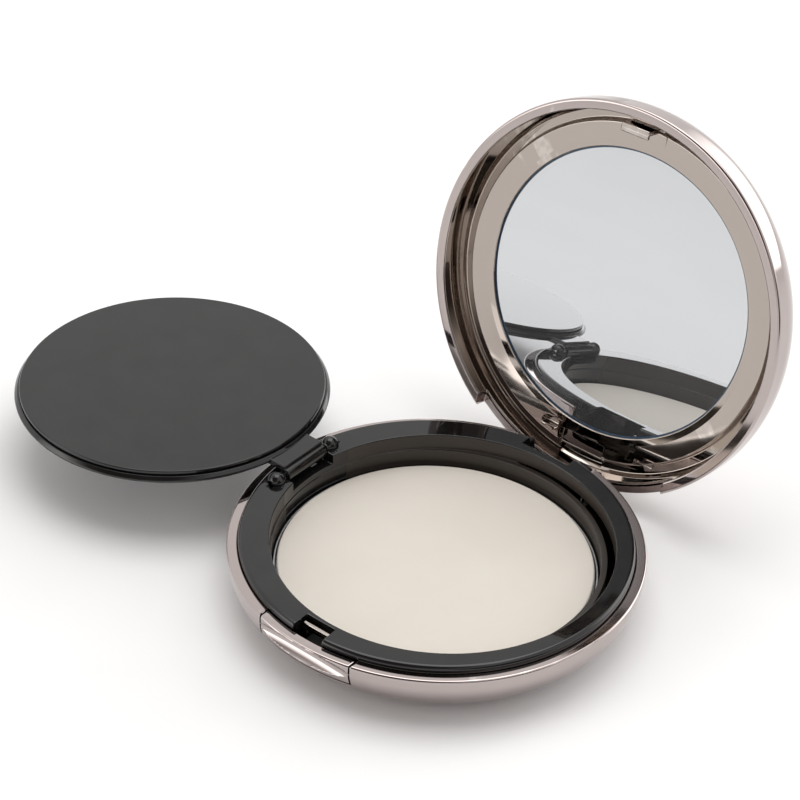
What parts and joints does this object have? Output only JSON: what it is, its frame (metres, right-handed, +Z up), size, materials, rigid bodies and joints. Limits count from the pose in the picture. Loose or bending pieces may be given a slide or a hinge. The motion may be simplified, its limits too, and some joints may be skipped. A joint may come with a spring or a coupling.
{
  "type": "powder compact",
  "caption": "Round hinged powder compact with a mirror lid, a flat flip-out inner lid, a pan of pressed powder and a push button catch.",
  "frame": {"origin": "middle of the flat underside of the base", "axes": "+Z up, -Y front with the push button, +Y back with the main hinge, -X side with the inner lid's hinge"},
  "size_m": [0.1358, 0.1035, 0.0776],
  "materials": {
    "case_metal": "vacuum-metallised rose-taupe mirror gloss",
    "frame_metal": "vacuum-metallised warm chrome",
    "black_gloss": "polished black",
    "black_matte": "moulded, matte",
    "steel": "bright drawn",
    "pan_aluminium": "pressed sheet",
    "powder": "pressed powder, matte",
    "glue": "dried glue",
    "tape": "foam tape",
    "mirror": "silvered glass"
  },
  "bodies": {
    "base": {"base_shell": "case_metal", "base_insert": "black_gloss", "powder_pan": "pan_aluminium", "pressed_powder": "powder", "pan_glue": "glue", "main_hinge_pin": "steel", "inner_hinge_pin": "steel", "button_spring_left": "steel", "button_spring_right": "steel"},
    "button": {"push_button": "case_metal", "button_slide": "black_matte", "catch_loop": "frame_metal"},
    "inner_lid": {"inner_lid_cover": "black_gloss", "inner_lid_plate": "black_gloss"},
    "lid": {"lid_shell": "case_metal", "lid_frame": "frame_metal", "mirror_glass": "mirror", "mirror_tape": "tape", "mirror_plate": "black_matte"}
  },
  "joints": [
    {"name": "lid_hinge", "type": "hinge", "parent": "base", "child": "lid", "pos_m": [0, 0.0354, 0.0065], "axis": [1, 0, 0], "range_deg": [0, 87]},
    {"name": "inner_lid_hinge", "type": "hinge", "parent": "base", "child": "inner_lid", "pos_m": [-0.0324, 0, 0.0123], "axis": [0, 1, 0], "range_deg": [0, 180]},
    {"name": "button_press", "type": "slide", "parent": "base", "child": "button", "axis": [0, 1, 0], "range_m": [0, 0.0007], "stiffness_N_per_m": 1500, "deforming": ["button_spring_left", "button_spring_right"]}
  ]
}
